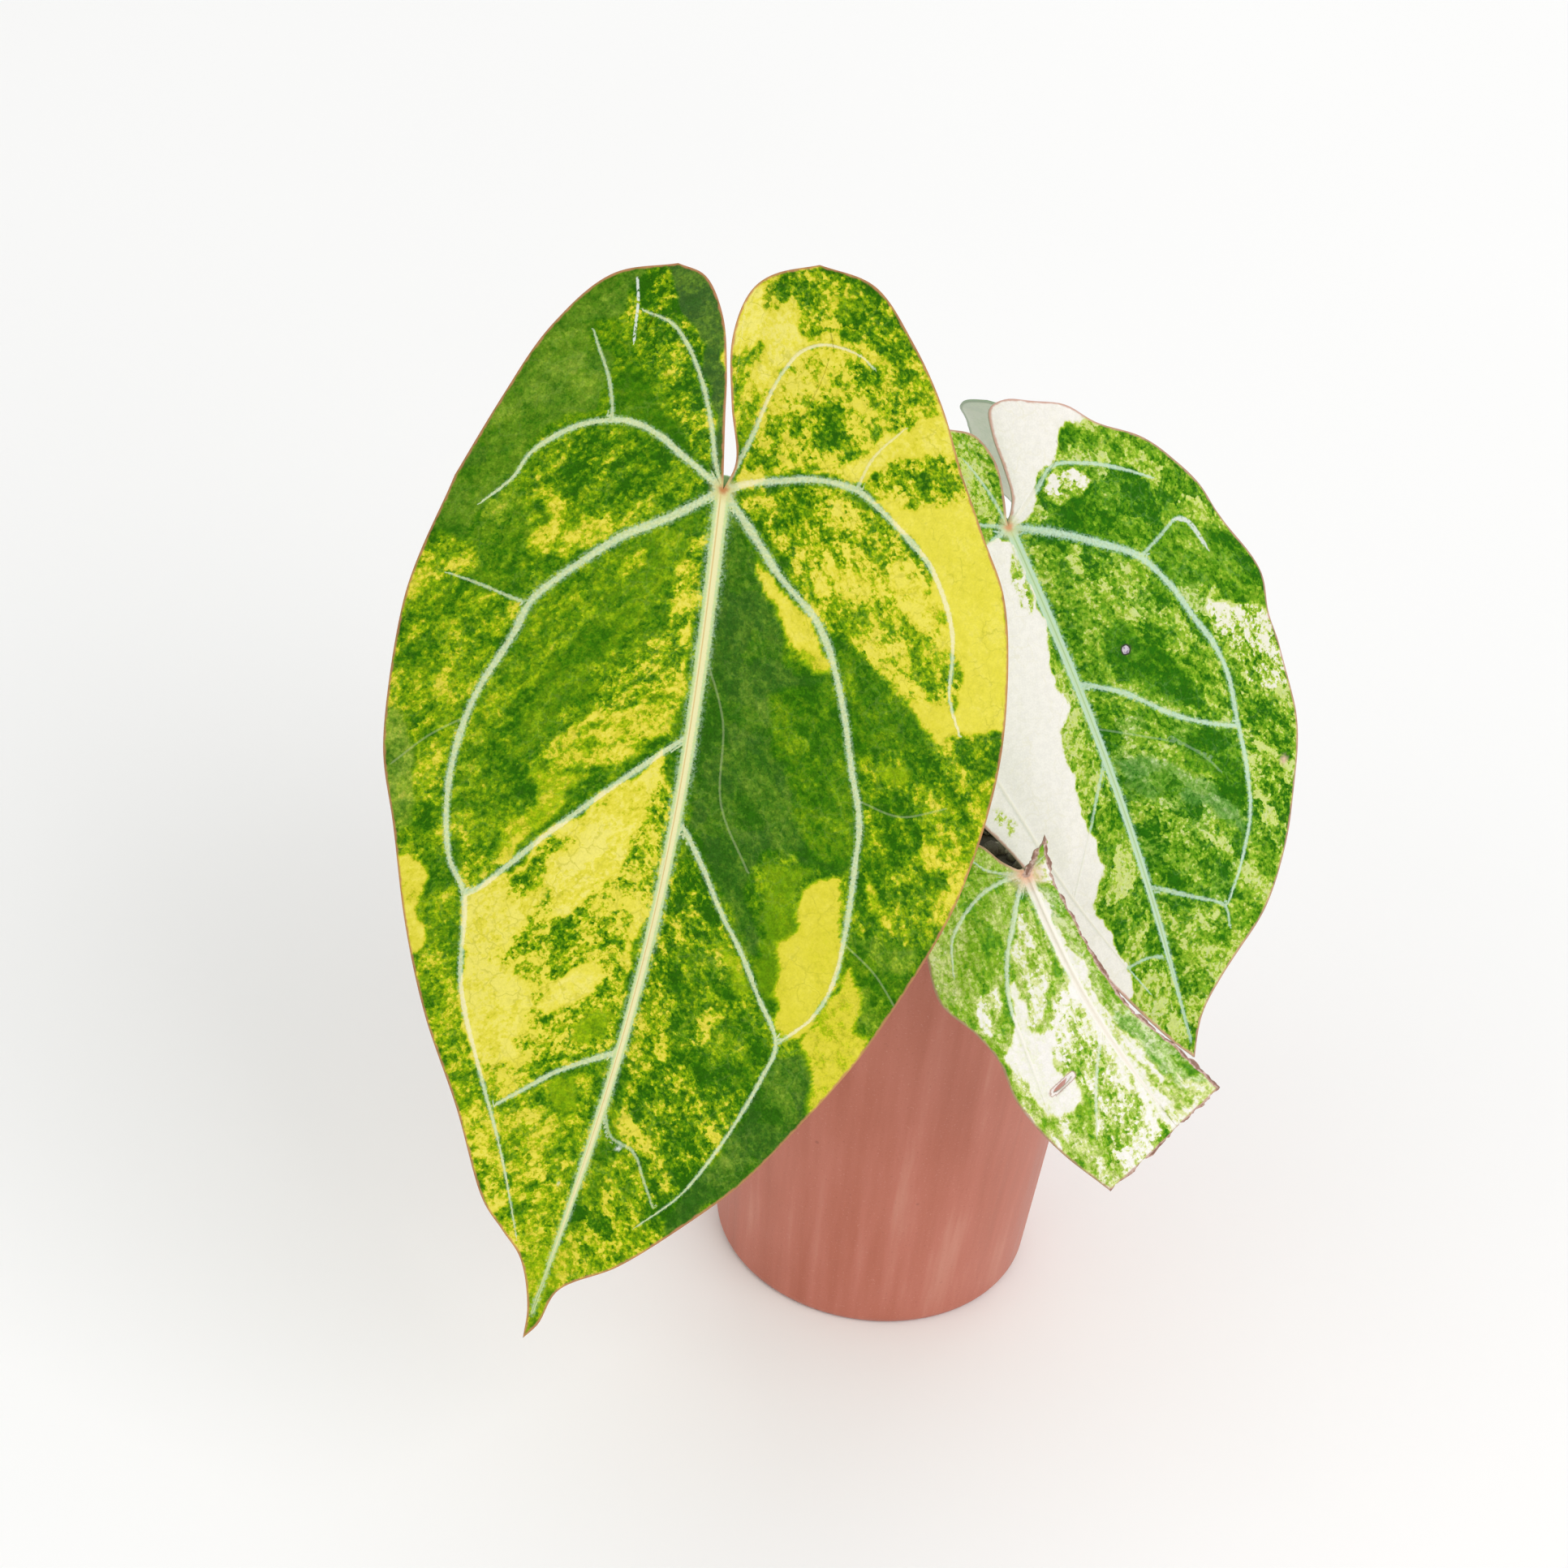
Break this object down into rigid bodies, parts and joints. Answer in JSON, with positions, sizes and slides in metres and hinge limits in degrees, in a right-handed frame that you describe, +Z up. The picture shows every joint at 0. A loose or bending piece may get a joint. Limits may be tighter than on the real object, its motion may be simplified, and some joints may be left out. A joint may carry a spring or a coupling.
{
  "type": "potted variegated crystal anthurium",
  "caption": "Aroid house plant with large variegated heart-shaped leaves on arching petioles, in a tapered round nursery pot with a rim band.",
  "frame": {"origin": "centre of the pot's base, on its flat underside", "axes": "+Z up the pot's axis; -Y towards the side that the leaves face; +X to the right seen from that side"},
  "size_m": [0.1621, 0.1805, 0.2124],
  "materials": {
    "pot": "satin",
    "potting_mix": "matte",
    "crown": "matte",
    "petiole": "satin",
    "large_leaf": "satin",
    "half_moon_leaf": "satin",
    "trimmed_leaf": "satin",
    "back_leaf": "satin"
  },
  "bodies": {
    "root": {"pot": "pot", "potting_mix": "potting_mix", "crown": "crown", "large_leaf_petiole": "petiole", "large_leaf_blade": "large_leaf", "half_moon_leaf_petiole": "petiole", "half_moon_leaf_blade": "half_moon_leaf", "trimmed_leaf_petiole": "petiole", "trimmed_leaf_blade": "trimmed_leaf", "back_leaf_petiole": "petiole", "back_leaf_blade": "back_leaf"}
  },
  "joints": []
}
